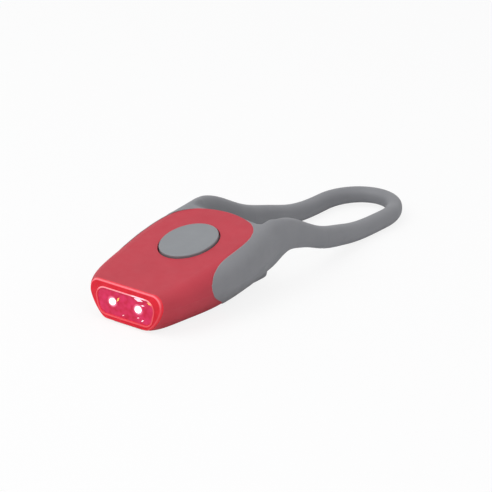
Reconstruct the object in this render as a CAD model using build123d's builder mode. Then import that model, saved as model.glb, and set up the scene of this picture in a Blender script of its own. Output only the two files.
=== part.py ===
from build123d import *
import os
from math import cos, radians, sin, sqrt, tan

os.makedirs("parts", exist_ok=True)

# Frame: +Z up, lens towards -Y, strap towards +Y, origin under the middle on the resting surface.
# A distance called a station is counted from the lens's front face towards the strap.

# Whole light
overall_length = 118.0
body_length = 47.2
body_width = 36.6
front_height = 11.5
top_tilt = 10.3
front_y = -overall_length / 2

# General clearances
overrun = 20.0
seat_gap = 0.05
running_gap = 0.08

# Walls and heights of the hard housing
roof_wall = 1.5
side_wall = 3.5
jacket_wall = 1.6
jacket_floor = 1.3
underside_height = 0.6
parting_height = 2.6
edge_radius = 4.4
bottom_radius = 2.8
bottom_turn = 45.0
resting_trim = 0.3
front_wall = 1.8
rear_wall = 1.6
heel_wall = 3.2

# Cross-sections of the body: station as a share of its length, half width as a share of its own
# half width, half footing as a share of the battery cover's radius, shoulder as a share of the
# height, and the top corner as a share of the edge radius
station_shares = (0.0, 0.06, 0.2, 0.38, 0.56, 0.74, 0.9, 1.0)
width_shares = (0.665, 0.77, 0.885, 0.956, 1.0, 0.984, 0.896, 0.806)
foot_shares = (0.752, 0.936, 1.036, 1.103, 1.103, 0.986, 0.902, 0.852)
shoulder_shares = (0.64, 0.64, 0.62, 0.58, 0.55, 0.55, 0.55, 0.55)
corner_shares = (0.68, 0.73, 0.86, 1.0, 1.0, 1.0, 1.0, 1.0)
flare_height_share = 0.51
flare_width_share = 0.6

# Silicone jacket: stations as shares of the body's length, heights, and how far the red top's
# outline lies inside the body's widest half width
lobe_nose_share = 0.358
lobe_top_share = 0.4555
lobe_foot_share = 0.432
lobe_end_share = 0.604
lobe_top_height = 15.8
lobe_nose_height = 11.4
lobe_foot_height = 6.4
red_rear_share = 0.949
red_corner_share = 0.869
red_side_share = 0.7945
red_waist_share = 0.6145
red_front_share = 0.445
red_corner_inset = 5.7
red_side_inset = 3.6
red_waist_inset = 4.1
red_front_inset = 2.7
saddle_radius = 16.0
saddle_depth = 0.8
saddle_share = 0.816
relief_rim = 0.6
relief_depth = 6.0

# Strap: each section's place behind the body as a share of the strap's length, its spread as a
# share of the arms' half spacing, and its lower and upper edges as shares of the horns' height
arm_inset = 5.4
horn_height = 21.4
strap_thickness = 4.7
root_shares = (
    (-0.117, 0.960, 0.300, 0.860),
    (-0.020, 0.957, 0.296, 1.0),
    (0.028, 0.977, 0.355, 0.977),
    (0.077, 1.0, 0.400, 0.907),
)
neck_shares = (root_shares[-1], (0.147, 1.020, 0.375, 0.800), (0.208, 1.031, 0.332, 0.696))
arm_shares = (neck_shares[-1], (0.305, 1.033, 0.227, 0.544), (0.452, 0.954, 0.104, 0.400))
bend_shares = (arm_shares[-1], (0.545, 0.895, 0.045, 0.320), (0.633, 0.865, 0.018, 0.275))
loop_start_share = (0.782, 0.857, 0.020, 0.262)
loop_tip_share = (0.045, 0.257)
loop_turns = 6

# Lens and lamps
lens_depth = 1.0
lens_edge = 0.5
window_depth = 0.3
window_top = 9.5
window_bottom = 2.2
window_side_rim = 1.57
window_taper = 1.8
window_corner = 2.0
plug_wall = 1.2
opening_inset = 0.7
lamp_spacing = 9.4
lamp_height = 6.2
lamp_diameter = 3.0
lamp_tip = 1.6
lamp_length = 5.3
lamp_flange = 0.4
lamp_flange_depth = 1.0
lead_size = 0.5
lead_spacing = 2.54
lead_turn = 1.5
reflector_depth = 1.8
reflector_foot = 2.7
cup_diameter = 5.8

# Cells and what holds them
cell_diameter = 20.0
cell_thickness = 3.2
cell_station = 21.0
cell_clearance = 0.25
cell_base = 3.3
cell_edge = 0.3
cradle_wall = 0.85
clip_thickness = 0.25
clip_width = 5.0
leaf_thickness = 0.3
leaf_length = 13.0

# Battery cover
cover_flange = 0.7
cover_flange_depth = 0.9
lug_reach = 0.55
lug_width = 5.0
lug_count = 3
cover_turn = 30.0
coin_slot_width = 2.0
coin_slot_length = 15.0
coin_slot_depth = 0.7
seal_section = 0.54
seal_groove = 0.6

# Circuit board
board_height = 10.2
board_thickness = 0.8
board_front = 7.4
board_clearance = 0.3
board_front_half = 10.4
board_rear_half = 11.6
board_step = 16.0
switch_side = 6.0
switch_depth = 2.2
plunger_diameter = 3.2
plunger_reach = 0.8
plunger_depth = 0.5
chip_length = 5.0
chip_width = 4.0
chip_depth = 0.8
chip_gap = 0.6
resistor_length = 2.0
resistor_width = 1.25
resistor_depth = 0.5
resistor_station = 10.4
resistor_half_spacing = 4.2
capacitor_diameter = 4.0
capacitor_depth = 1.6
capacitor_offset = 5.3

# Push button
button_station_share = 0.578
button_length = 18.5
button_width = 15.3
button_rise = 0.65
button_travel = 0.5
button_gap = 0.4
button_edge = 0.25
button_flange = 0.9
button_flange_depth = 0.75
stem_diameter = 4.6

# Screws
housing_screw_diameter = 1.7
housing_head_diameter = 3.0
housing_head_depth = 0.55
screw_seat = 1.95
housing_screw_length = 5.2
housing_boss_diameter = 3.8
front_boss_half = 9.3
front_boss_station = 8.8
front_boss_top = 9.0
rear_boss_half = 5.4
rear_boss_inset = 3.2
boss_rib = 1.2
board_screw_diameter = 1.6
board_head_diameter = 2.6
board_head_depth = 0.6
board_screw_length = 2.2
board_post_diameter = 2.8
front_post_half = 8.6
front_post_station = 10.4
rear_post_half = 9.9
rear_post_inset = 1.5
cross_length = 1.6
cross_width = 0.35
cross_depth = 0.3

# Chin that the light rests on at its front
chin_start = 1.4
chin_length = 4.0
chin_width = 12.0
chin_corner = 1.2

# Derived places
board_top = board_height + board_thickness
cell_pitch = cell_thickness + seat_gap
cover_neck_radius = cell_diameter / 2 + cell_clearance
cover_radius = cover_neck_radius + cover_flange
opening_radius = cover_neck_radius + running_gap
cradle_radius = cell_diameter / 2 + cell_clearance + cradle_wall
window_half = body_width / 2 * width_shares[0] - window_side_rim
core_length = body_length - heel_wall
cavity_length = core_length - rear_wall
loop_half_thickness = strap_thickness / 2
strap_length = overall_length - body_length
half_spacing = body_width / 2 - arm_inset
plunger_top = board_top + switch_depth + plunger_reach
front_inside = lens_depth + front_wall
lead_rear = lamp_tip + lamp_length + lead_turn
rear_boss_station = core_length - rear_boss_inset
board_rear = rear_boss_station - housing_boss_diameter / 2 - board_clearance
button_station = body_length * button_station_share
red_corner_half = body_width / 2 - red_corner_inset
red_side_half = body_width / 2 - red_side_inset
red_waist_half = body_width / 2 - red_waist_inset
red_front_half = body_width / 2 - red_front_inset


def at(station):
    """Y coordinate of a station."""
    return front_y + station


def along_body(share):
    """Y coordinate of a share of the body's length."""
    return at(body_length * share)


def behind_body(share):
    """Y coordinate of a share of the strap's length, counted from the body's rear."""
    return at(body_length + strap_length * share)


def across(station):
    """Upright plane across the light at a station, with X to the right and Z up."""
    return Plane.XZ.offset(-at(station))


def level(height):
    """Level plane at a height."""
    return Plane.XY.offset(height)


def top_height(station):
    """Height of the tilted top face at a station."""
    return front_height + station * tan(radians(top_tilt))


def body_section(station, shares, side, roof, floor):
    """Cross-section of the body, drawn in by a side wall and a roof wall, above a floor height."""
    width_share, foot_share, shoulder_share, corner_share = shares
    top = top_height(station) - roof
    half = body_width / 2 * width_share - side
    foot = cover_radius * foot_share - side
    edge = edge_radius * corner_share - min(side, roof) / 2
    rise = top - floor
    shoulder_height = floor + shoulder_share * rise
    flare_height = floor + flare_height_share * shoulder_share * rise
    run = [bottom_radius * sin(radians(bottom_turn * step)) for step in (0.5, 1)]
    lift = [bottom_radius * (1 - cos(radians(bottom_turn * step))) for step in (0.5, 1)]
    turn = edge * (1 - cos(radians(45)))
    with BuildSketch(across(station)) as section:
        with BuildLine():
            for hand in (1, -1):
                edge_start = (hand * (foot - run[1]), floor)
                edge_middle = (hand * (foot - run[1] + run[0]), floor + lift[0])
                heel = (hand * foot, floor + lift[1])
                flare = (hand * (foot + flare_width_share * (half - foot)), flare_height)
                shoulder = (hand * half, shoulder_height)
                Line((0, floor), edge_start)
                ThreePointArc(edge_start, edge_middle, heel)
                ThreePointArc(heel, flare, shoulder)
                Line(shoulder, (hand * half, top - edge))
                ThreePointArc(
                    (hand * half, top - edge),
                    (hand * (half - turn), top - turn),
                    (hand * (half - edge), top),
                )
                Line((hand * (half - edge), top), (0, top))
        make_face()
    return section.sketch


def body_sections(side=0, roof=0, floor=0):
    """All cross-sections of the body, from the lens to the heel."""
    return [
        body_section(share * body_length, shares, side, roof, floor)
        for share, *shares in zip(
            station_shares, width_shares, foot_shares, shoulder_shares, corner_shares
        )
    ]


def slab(start, end, low, high, half=overrun + body_width):
    """Block between two stations and two heights, as wide as the light or as its half width says."""
    with BuildPart(mode=Mode.PRIVATE) as block:
        with BuildSketch(level(low)):
            with Locations((0, at((start + end) / 2))):
                Rectangle(2 * half, end - start)
        extrude(amount=high - low)
    return block.part


def opening_sketch(station, inset):
    """The window's outline at a station, drawn in by an inset."""
    with BuildSketch(across(station)) as outline:
        with BuildLine():
            Polyline(
                (-window_half, window_top),
                (window_taper - window_half, window_bottom),
                (window_half - window_taper, window_bottom),
                (window_half, window_top),
                close=True,
            )
        make_face()
        fillet(outline.vertices(), radius=window_corner)
        offset(amount=-inset, mode=Mode.REPLACE)
    return outline.sketch


def board_sketch(height, extra):
    """The circuit board's outline at a height, grown by an extra."""
    with BuildSketch(level(height)) as outline:
        with BuildLine():
            Polyline(
                (board_front_half, at(board_front)),
                (board_rear_half, at(board_step)),
                (board_rear_half, at(board_rear)),
                (-board_rear_half, at(board_rear)),
                (-board_rear_half, at(board_step)),
                (-board_front_half, at(board_front)),
                close=True,
            )
        make_face()
        if extra:
            offset(amount=extra, mode=Mode.REPLACE)
    return outline.sketch


def tall_ellipse(center, direction, half_across, half_up):
    """Upright elliptical section of the strap, square to a level direction."""
    dx, dy = direction
    plane = Plane(origin=center, x_dir=(dy, -dx, 0), z_dir=(dx, dy, 0))
    with BuildSketch(plane) as section:
        Ellipse(half_across, half_up)
    return section.sketch


def arm_section(shares, hand):
    """Section of one arm from its shares, on the right for hand 1 and on the left for hand -1."""
    along, spread, low, high = shares
    center = (hand * half_spacing * spread, behind_body(along), horn_height * (low + high) / 2)
    return tall_ellipse(center, (0, 1), loop_half_thickness, horn_height * (high - low) / 2)


def loop_section(turn):
    """Section of the strap's round end: turn 0 at the right, 180 at the left."""
    along, spread, low, high = loop_start_share
    tip_low, tip_high = loop_tip_share
    blend = sin(radians(turn))
    reach = strap_length * (1 - along) - loop_half_thickness
    low = low + (tip_low - low) * blend
    high = high + (tip_high - high) * blend
    x = half_spacing * spread * cos(radians(turn))
    y = behind_body(along) + reach * blend
    dx, dy = -half_spacing * spread * blend, reach * cos(radians(turn))
    size = sqrt(dx**2 + dy**2)
    center = (x, y, horn_height * (low + high) / 2)
    return tall_ellipse(center, (dx / size, dy / size), loop_half_thickness, horn_height * (high - low) / 2)


# Cone behind the red top that lets the jacket fall away between the arms
rear_arc_rise = body_length * (red_rear_share - red_corner_share)
rear_arc_radius = (red_corner_half**2 + rear_arc_rise**2) / (2 * rear_arc_rise)
rear_arc_station = body_length * red_rear_share - rear_arc_radius
relief_radius = rear_arc_radius + relief_rim
relief_plane = Plane(
    origin=(0, at(rear_arc_station), top_height(rear_arc_station)),
    x_dir=(0, cos(radians(top_tilt)), sin(radians(top_tilt))),
    z_dir=(1, 0, 0),
)
with BuildPart() as rear_relief:
    with BuildSketch(relief_plane):
        with BuildLine():
            Polyline(
                (relief_radius, 0),
                (relief_radius + relief_depth, -relief_depth),
                (relief_radius + relief_depth, relief_depth),
                (relief_radius, relief_depth),
                close=True,
            )
        make_face()
    revolve(axis=Axis(relief_plane.origin, relief_plane.y_dir))
    relief_half = half_spacing * root_shares[1][1]
    relief_start = body_length * red_corner_share
    relief_box = slab(relief_start, body_length + overrun, 0, 2 * overrun, relief_half)
    add(relief_box, mode=Mode.INTERSECT)

# Solids that the housing and the jacket are cut from
with BuildPart() as jacket_outside:
    loft(sections=body_sections(floor=-resting_trim))
    add(slab(-overrun, body_length + overrun, 0, 2 * overrun), mode=Mode.INTERSECT)
    add(rear_relief.part, mode=Mode.SUBTRACT)

with BuildPart() as body_outside:
    loft(sections=body_sections(floor=underside_height))

with BuildPart() as core:
    loft(sections=body_sections(side=jacket_wall, roof=jacket_wall, floor=jacket_floor))
    add(slab(-overrun, core_length, -overrun, 2 * overrun), mode=Mode.INTERSECT)

with BuildPart() as cavity:
    loft(sections=body_sections(side=side_wall, roof=roof_wall))
    add(slab(front_inside, cavity_length, -overrun, 2 * overrun), mode=Mode.INTERSECT)

with BuildPart() as jacket_zone:
    with BuildSketch(Plane.YZ.offset(-body_width)):
        with BuildLine():
            ThreePointArc(
                (along_body(lobe_top_share), lobe_top_height),
                (along_body(lobe_nose_share), lobe_nose_height),
                (along_body(lobe_foot_share), lobe_foot_height),
            )
            Polyline(
                (along_body(lobe_foot_share), lobe_foot_height),
                (along_body(lobe_end_share), 0),
                (along_body(lobe_end_share), -overrun),
                (at(body_length + overrun), -overrun),
                (at(body_length + overrun), 2 * overrun),
                (along_body(lobe_top_share), 2 * overrun),
                (along_body(lobe_top_share), lobe_top_height),
            )
        make_face()
    extrude(amount=2 * body_width)
    with BuildSketch(level(lobe_nose_height)):
        with BuildLine():
            ThreePointArc(
                (-red_corner_half, along_body(red_corner_share)),
                (0, along_body(red_rear_share)),
                (red_corner_half, along_body(red_corner_share)),
            )
            for hand in (1, -1):
                corner = (hand * red_corner_half, along_body(red_corner_share))
                Line(corner, (hand * red_side_half, along_body(red_side_share)))
                ThreePointArc(
                    (hand * red_side_half, along_body(red_side_share)),
                    (hand * red_waist_half, along_body(red_waist_share)),
                    (hand * red_front_half, along_body(red_front_share)),
                )
                Line((hand * red_front_half, along_body(red_front_share)), (hand * red_corner_half, at(0)))
            Line((red_corner_half, at(0)), (-red_corner_half, at(0)))
        make_face()
    extrude(amount=2 * overrun, mode=Mode.SUBTRACT)

# Lens with its window recess and the plug behind it
with BuildPart() as lens:
    add(body_outside.part)
    add(slab(-overrun, lens_depth, -overrun, 2 * overrun), mode=Mode.INTERSECT)
    fillet(lens.faces().sort_by(Axis.Y)[0].edges(), radius=lens_edge)
    extrude(opening_sketch(0, 0), amount=-window_depth, mode=Mode.SUBTRACT)
    extrude(opening_sketch(lens_depth, opening_inset + seat_gap), amount=-(front_wall - seat_gap))
    extrude(opening_sketch(lens_depth, opening_inset + plug_wall), amount=-front_wall, mode=Mode.SUBTRACT)

# Red upper shell: walls, roof, button opening, screw bosses and board posts
button_plane = Plane(
    origin=(0, at(button_station), top_height(button_station)),
    x_dir=(1, 0, 0),
    z_dir=(0, -sin(radians(top_tilt)), cos(radians(top_tilt))),
)

housing_screw_places = [
    (front_boss_half, at(front_boss_station)),
    (-front_boss_half, at(front_boss_station)),
    (rear_boss_half, at(rear_boss_station)),
    (-rear_boss_half, at(rear_boss_station)),
]
board_screw_places = [
    (front_post_half, at(front_post_station)),
    (-front_post_half, at(front_post_station)),
    (rear_post_half, at(board_rear - rear_post_inset)),
    (-rear_post_half, at(board_rear - rear_post_inset)),
]

with BuildPart() as boss_limit:
    loft(sections=body_sections(side=roof_wall / 2, roof=roof_wall / 2))

with BuildPart() as bosses:
    with BuildSketch(level(parting_height + seat_gap)):
        with Locations(*housing_screw_places[:2]):
            Circle(housing_boss_diameter / 2)
        with Locations(housing_screw_places[0]):
            Rectangle(body_width, boss_rib, align=(Align.MIN, Align.CENTER))
        with Locations(housing_screw_places[1]):
            Rectangle(body_width, boss_rib, align=(Align.MAX, Align.CENTER))
    extrude(amount=front_boss_top - parting_height)
    with BuildSketch(level(parting_height + seat_gap)):
        with Locations(*housing_screw_places[2:]):
            Circle(housing_boss_diameter / 2)
    extrude(amount=top_height(rear_boss_station) - parting_height - roof_wall / 2)
    with BuildSketch(level(board_top + seat_gap)):
        with Locations(*board_screw_places):
            Circle(board_post_diameter / 2)
    extrude(amount=overrun)
    add(boss_limit.part, mode=Mode.INTERSECT)

with BuildPart() as upper_shell:
    add(body_outside.part)
    add(jacket_zone.part, mode=Mode.SUBTRACT)
    add(core.part)
    add(slab(-overrun, lens_depth, -overrun, 2 * overrun), mode=Mode.SUBTRACT)
    add(slab(-overrun, body_length + overrun, -overrun, parting_height + seat_gap), mode=Mode.SUBTRACT)
    add(cavity.part, mode=Mode.SUBTRACT)
    with BuildSketch(level(0)):
        with Locations((0, at(cell_station))):
            Circle(cradle_radius + seat_gap)
    extrude(amount=board_top, mode=Mode.SUBTRACT)
    extrude(opening_sketch(lens_depth, opening_inset), amount=-(front_wall + seat_gap), mode=Mode.SUBTRACT)
    extrude(
        board_sketch(board_height - board_clearance, board_clearance),
        amount=board_thickness + 2 * board_clearance,
        mode=Mode.SUBTRACT,
    )
    add(bosses.part)
    with BuildSketch(button_plane):
        Ellipse(button_width / 2 + button_gap, button_length / 2 + button_gap)
    extrude(amount=overrun / 2, both=True, mode=Mode.SUBTRACT)
    with BuildSketch(level(0)):
        with Locations(*housing_screw_places):
            Circle(housing_screw_diameter / 2 + seat_gap)
    extrude(amount=screw_seat + housing_screw_length + seat_gap, mode=Mode.SUBTRACT)
    with BuildSketch(level(board_height)):
        with Locations(*board_screw_places):
            Circle(board_screw_diameter / 2 + seat_gap)
    extrude(amount=board_screw_length + seat_gap, mode=Mode.SUBTRACT)

# Red base plate with the battery opening, the lugs' ways in, screw seats and the front chin
lug_angles = [90 + 360 * turn / lug_count for turn in range(lug_count)]


def lug_sketch(height, angles, extra):
    """Bayonet lugs round the battery opening, wider by an extra all round."""
    with BuildSketch(level(height)) as lugs:
        with Locations((0, at(cell_station))):
            for angle in angles:
                Rectangle(
                    lug_width + 2 * extra,
                    cover_neck_radius + lug_reach + extra,
                    rotation=angle - 90,
                    align=(Align.CENTER, Align.MIN),
                )
    return lugs.sketch


with BuildPart() as base_plate:
    add(body_outside.part)
    add(slab(lens_depth, body_length + overrun, -overrun, parting_height), mode=Mode.INTERSECT)
    add(jacket_zone.part, mode=Mode.SUBTRACT)
    with BuildSketch(level(0)):
        with Locations((0, at(chin_start + chin_length / 2))):
            RectangleRounded(chin_width, chin_length, chin_corner)
    extrude(amount=parting_height)
    add(core.part)
    add(slab(-overrun, body_length + overrun, parting_height, 2 * overrun), mode=Mode.SUBTRACT)
    add(slab(-overrun, lens_depth, -overrun, 2 * overrun), mode=Mode.SUBTRACT)
    with BuildSketch(level(0)):
        with Locations((0, at(cell_station))):
            Circle(cover_radius + running_gap)
    extrude(amount=underside_height + cover_flange_depth, mode=Mode.SUBTRACT)
    with BuildSketch(level(0)):
        with Locations((0, at(cell_station))):
            Circle(opening_radius)
    extrude(amount=overrun, mode=Mode.SUBTRACT)
    open_angles = [angle + cover_turn for angle in lug_angles]
    extrude(lug_sketch(0, open_angles, running_gap), amount=overrun, mode=Mode.SUBTRACT)
    with BuildSketch(level(0)):
        with Locations(*housing_screw_places):
            Circle(housing_head_diameter / 2 + running_gap)
    extrude(amount=screw_seat, mode=Mode.SUBTRACT)
    with BuildSketch(level(0)):
        with Locations(*housing_screw_places):
            Circle(housing_screw_diameter / 2 + running_gap)
    extrude(amount=overrun, mode=Mode.SUBTRACT)

# Silicone jacket with its lobes, horns and bar saddle
with BuildPart() as strap_jacket:
    loft(sections=[arm_section(shares, 1) for shares in root_shares])
    loft(sections=[arm_section(shares, -1) for shares in root_shares])
    add(jacket_outside.part)
    add(jacket_zone.part, mode=Mode.INTERSECT)
    add(core.part, mode=Mode.SUBTRACT)
    with BuildSketch(level(-overrun)):
        with Locations((0, at(cell_station))):
            Circle(cover_radius + jacket_wall)
    extrude(amount=overrun + parting_height, mode=Mode.SUBTRACT)
    with BuildSketch(Plane.YZ.offset(-body_width)):
        with Locations((along_body(saddle_share), saddle_depth - saddle_radius)):
            Circle(saddle_radius)
    extrude(amount=2 * body_width, mode=Mode.SUBTRACT)

# Strap: two necks that bend, two arms, two bends and the round loop
necks = {}
arms = {}
bends = {}
for side_name, hand in (("right", 1), ("left", -1)):
    with BuildPart() as neck:
        loft(sections=[arm_section(shares, hand) for shares in neck_shares])
    with BuildPart() as arm:
        loft(sections=[arm_section(shares, hand) for shares in arm_shares])
    with BuildPart() as bend:
        loft(sections=[arm_section(shares, hand) for shares in bend_shares])
    necks[side_name] = neck.part
    arms[side_name] = arm.part
    bends[side_name] = bend.part

with BuildPart() as strap_loop:
    loft(
        sections=[arm_section(bend_shares[-1], 1)]
        + [loop_section(180 * step / loop_turns) for step in range(loop_turns + 1)]
        + [arm_section(bend_shares[-1], -1)]
    )

# Push button: oval cap, flange under the roof and the stem over the switch
switch_plane_drop = button_flange_depth + roof_wall + seat_gap
stem_station = button_station + switch_plane_drop * sin(radians(top_tilt))
with BuildPart() as push_button:
    with BuildSketch(button_plane.offset(-roof_wall - seat_gap)):
        Ellipse(button_width / 2, button_length / 2)
    extrude(amount=button_rise + roof_wall + seat_gap)
    fillet(push_button.faces().sort_by(Axis.Z)[-1].edges(), radius=button_edge)
    with BuildSketch(button_plane.offset(-roof_wall - seat_gap)):
        Ellipse(button_width / 2 + button_flange, button_length / 2 + button_flange)
    extrude(amount=-button_flange_depth)
    with BuildSketch(button_plane.offset(-roof_wall - seat_gap)):
        Circle(stem_diameter / 2)
    extrude(amount=-overrun / 2)
    add(slab(0, body_length, -overrun, plunger_top + seat_gap), mode=Mode.SUBTRACT)

# Reflector plate with a flared cup at each lamp
lamp_places = [(-lamp_spacing / 2, lamp_height), (lamp_spacing / 2, lamp_height)]
with BuildPart() as reflector:
    extrude(opening_sketch(front_inside + seat_gap, opening_inset + seat_gap), amount=-reflector_depth)
    add(slab(0, body_length, reflector_foot, overrun), mode=Mode.INTERSECT)
    with BuildSketch(across(front_inside)):
        with Locations(*lamp_places):
            Circle(lamp_diameter / 2 + seat_gap)
    extrude(amount=-reflector_depth - overrun, mode=Mode.SUBTRACT)
    for x, z in lamp_places:
        with BuildSketch(across(front_inside)):
            with Locations((x, z)):
                Circle(cup_diameter / 2)
        with BuildSketch(across(front_inside + reflector_depth / 2)):
            with Locations((x, z)):
                Circle(lamp_diameter / 2 + seat_gap)
        loft(mode=Mode.SUBTRACT)

# Lamps: domed bodies with a flange, each on two bent leads that reach the board
lamps = {}
for side_name, (x, z) in zip(("left", "right"), lamp_places):
    dome = lamp_diameter / 2
    rear = lamp_tip + lamp_length
    with BuildPart() as lamp:
        with BuildSketch(Plane.YZ.offset(x)):
            with BuildLine():
                Polyline(
                    (at(lamp_tip), z),
                    (at(rear), z),
                    (at(rear), z + dome + lamp_flange),
                    (at(rear - lamp_flange_depth), z + dome + lamp_flange),
                    (at(rear - lamp_flange_depth), z + dome),
                    (at(lamp_tip + dome), z + dome),
                )
                ThreePointArc(
                    (at(lamp_tip + dome), z + dome),
                    (at(lamp_tip + dome * (1 - cos(radians(45)))), z + dome * sin(radians(45))),
                    (at(lamp_tip), z),
                )
            make_face()
        revolve(axis=Axis((x, at(lamp_tip), z), (0, 1, 0)))
    lamps[side_name] = lamp.part

lead_places = [x + step * lead_spacing / 2 for x, _ in lamp_places for step in (-1, 1)]
with BuildPart() as lamp_leads:
    for x in lead_places:
        with BuildSketch(Plane.YZ.offset(x - lead_size / 2)):
            with BuildLine():
                Polyline(
                    (at(lamp_tip + lamp_length), lamp_height - lead_size / 2),
                    (at(lead_rear), lamp_height - lead_size / 2),
                    (at(lead_rear), board_top),
                    (at(lead_rear - lead_size), board_top),
                    (at(lead_rear - lead_size), lamp_height + lead_size / 2),
                    (at(lamp_tip + lamp_length), lamp_height + lead_size / 2),
                    close=True,
                )
            make_face()
        extrude(amount=lead_size)

# Circuit board with its screw and lead holes
with BuildPart() as circuit_board:
    with BuildSketch(level(board_height)):
        add(board_sketch(board_height, 0))
        with Locations(*board_screw_places):
            Circle(board_screw_diameter / 2 + seat_gap, mode=Mode.SUBTRACT)
        with Locations(*[(x, at(lead_rear - lead_size / 2)) for x in lead_places]):
            Rectangle(lead_size + 2 * seat_gap, lead_size + 2 * seat_gap, mode=Mode.SUBTRACT)
    extrude(amount=board_thickness)

# Tactile switch: body with a blind bore and the plunger in it
with BuildPart() as switch_body:
    with BuildSketch(level(board_top)):
        with Locations((0, at(stem_station))):
            Rectangle(switch_side, switch_side)
    extrude(amount=switch_depth)
    with BuildSketch(level(board_top + switch_depth)):
        with Locations((0, at(stem_station))):
            Circle(plunger_diameter / 2 + running_gap)
    extrude(amount=-(plunger_depth + button_travel + seat_gap), mode=Mode.SUBTRACT)

with BuildPart() as switch_plunger:
    with BuildSketch(level(plunger_top)):
        with Locations((0, at(stem_station))):
            Circle(plunger_diameter / 2)
    extrude(amount=-(plunger_reach + plunger_depth))

# Parts soldered to the board
chip_station = stem_station + switch_side / 2 + chip_gap + chip_width / 2
with BuildPart() as controller_chip:
    with BuildSketch(level(board_top)):
        with Locations((0, at(chip_station))):
            Rectangle(chip_length, chip_width)
    extrude(amount=chip_depth)

with BuildPart() as resistors:
    with BuildSketch(level(board_top)):
        with Locations(*[(hand * resistor_half_spacing, at(resistor_station)) for hand in (1, -1)]):
            Rectangle(resistor_length, resistor_width)
    extrude(amount=resistor_depth)

with BuildPart() as capacitor:
    with BuildSketch(level(board_top)):
        with Locations((capacitor_offset, at(chip_station))):
            Circle(capacitor_diameter / 2)
    extrude(amount=capacitor_depth)

# Two coin cells, one on the other
cells = {}
for cell_name, base in (("lower", cell_base), ("upper", cell_base + cell_pitch)):
    with BuildPart() as cell:
        with BuildSketch(level(base)):
            with Locations((0, at(cell_station))):
                Circle(cell_diameter / 2)
        extrude(amount=cell_thickness)
        fillet(cell.edges().filter_by(GeomType.CIRCLE), radius=cell_edge)
    cells[cell_name] = cell.part

# Cradle ring round the cells, slotted at the rear for the contact clip
with BuildPart() as battery_cradle:
    with BuildSketch(level(cell_base + seat_gap)):
        with Locations((0, at(cell_station))):
            Circle(cradle_radius)
            Circle(cradle_radius - cradle_wall, mode=Mode.SUBTRACT)
        with Locations((0, at(cell_station + cradle_radius))):
            Rectangle(clip_width + 2 * running_gap, cradle_radius, mode=Mode.SUBTRACT)
    extrude(amount=board_height - cell_base - 2 * seat_gap)

# Contacts: a clip at the cells' rim and a leaf under the board
clip_station = cell_station + cell_diameter / 2 + seat_gap
with BuildPart() as contact_clip:
    with BuildSketch(level(cell_base + cell_edge)):
        with Locations((0, at(clip_station + clip_thickness / 2))):
            Rectangle(clip_width, clip_thickness)
    extrude(amount=board_height - cell_base - cell_edge)

leaf_base = cell_base + cell_pitch + cell_thickness + seat_gap
with BuildPart() as contact_leaf:
    with BuildSketch(level(leaf_base)):
        with Locations((0, at(cell_station))):
            Rectangle(leaf_length, clip_width)
            Circle(clip_width / 2 + leaf_thickness)
    extrude(amount=board_height - leaf_base)

# Battery cover: flange, neck with a seal groove, bayonet lugs and a coin slot
neck_top = cell_base - seat_gap
groove_base = underside_height + cover_flange_depth + seat_gap
with BuildPart() as battery_cover:
    with BuildSketch(level(underside_height)):
        with Locations((0, at(cell_station))):
            Circle(cover_radius)
    extrude(amount=cover_flange_depth - seat_gap)
    with BuildSketch(level(underside_height)):
        with Locations((0, at(cell_station))):
            Circle(cover_neck_radius)
    extrude(amount=neck_top - underside_height)
    lug_base = parting_height + seat_gap
    extrude(lug_sketch(lug_base, lug_angles, 0), amount=neck_top - lug_base)
    with BuildSketch(level(groove_base)):
        with Locations((0, at(cell_station))):
            Circle(cover_radius)
            Circle(cover_neck_radius - seal_section, mode=Mode.SUBTRACT)
    extrude(amount=seal_groove, mode=Mode.SUBTRACT)
    with BuildSketch(level(underside_height)):
        with Locations((0, at(cell_station))):
            SlotOverall(coin_slot_length, coin_slot_width)
    extrude(amount=coin_slot_depth, mode=Mode.SUBTRACT)

seal_radius = seal_section / 2
with BuildPart() as cover_seal:
    with BuildSketch(Plane.XZ.offset(-at(cell_station))):
        with Locations((cover_neck_radius - seal_radius + seat_gap / 2, groove_base + seal_groove / 2)):
            Circle(seal_radius - seat_gap / 2)
    revolve(axis=Axis((0, at(cell_station), 0), (0, 0, 1)))


def screws(places, seat, head_diameter, head_depth, diameter, length):
    """Pan-head screws pointing up, with the head's upper face at a seat height."""
    with BuildPart() as group:
        with BuildSketch(level(seat - head_depth)):
            with Locations(*places):
                Circle(head_diameter / 2)
        extrude(amount=head_depth)
        with BuildSketch(level(seat)):
            with Locations(*places):
                Circle(diameter / 2)
        extrude(amount=length)
        with BuildSketch(level(seat - head_depth)):
            with Locations(*places):
                Rectangle(cross_length, cross_width)
                Rectangle(cross_width, cross_length)
        extrude(amount=cross_depth, mode=Mode.SUBTRACT)
    return group.part


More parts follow.
